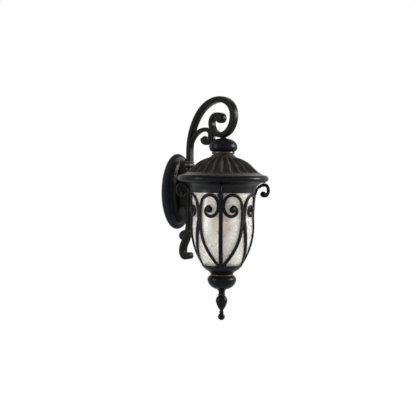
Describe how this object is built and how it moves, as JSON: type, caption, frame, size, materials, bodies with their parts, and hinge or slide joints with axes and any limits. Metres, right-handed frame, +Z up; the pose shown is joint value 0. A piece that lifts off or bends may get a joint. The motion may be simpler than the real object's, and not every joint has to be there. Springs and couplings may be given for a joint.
{
  "type": "outdoor wall lantern",
  "caption": "Wall lantern whose oval back plate and scroll arm carry a fluted roof, a scrollwork cage and an urn of seeded glass over a lamp holder.",
  "frame": {"origin": "middle of the back plate on the wall, half way between the strap's two slots", "axes": "+Z up, +Y into the wall, +X along the wall; the arm lies in the plane x = 0"},
  "size_m": [0.256, 0.3307, 0.6308],
  "materials": {
    "cast_bronze_finish": "satin powder coat, near black with rubbed bronze edges",
    "painted_hardware": "satin paint to match the castings",
    "zinc_steel": "bright zinc plate",
    "brass": "plain",
    "seeded_glass": "seeded, lightly frosted",
    "gasket_rubber": "matt",
    "socket_phenolic": "moulded",
    "frosted_bulb": "frosted"
  },
  "bodies": {
    "root": {"back_plate": "cast_bronze_finish", "scroll_arm": "cast_bronze_finish", "top_knob": "cast_bronze_finish", "neck_ring": "cast_bronze_finish", "roof": "cast_bronze_finish", "gallery_band": "cast_bronze_finish", "cage_panel_1": "cast_bronze_finish", "cage_panel_2": "cast_bronze_finish", "cage_panel_3": "cast_bronze_finish", "cage_panel_4": "cast_bronze_finish", "bottom_cup": "cast_bronze_finish", "vase_knob": "cast_bronze_finish", "finial": "cast_bronze_finish", "cap_nuts": "painted_hardware", "mounting_strap": "zinc_steel", "plate_studs": "zinc_steel", "arm_screws": "zinc_steel", "hanger_tube": "zinc_steel", "tube_nuts": "zinc_steel", "roof_screws": "zinc_steel", "rib_screws": "zinc_steel", "finial_rod": "zinc_steel", "rod_nut": "zinc_steel", "socket_cap": "zinc_steel", "ground_screw": "brass", "screw_shell": "brass", "socket_contact": "brass", "glass_globe": "seeded_glass", "glass_gasket": "gasket_rubber", "lamp_socket": "socket_phenolic", "bulb": "frosted_bulb"}
  },
  "joints": []
}
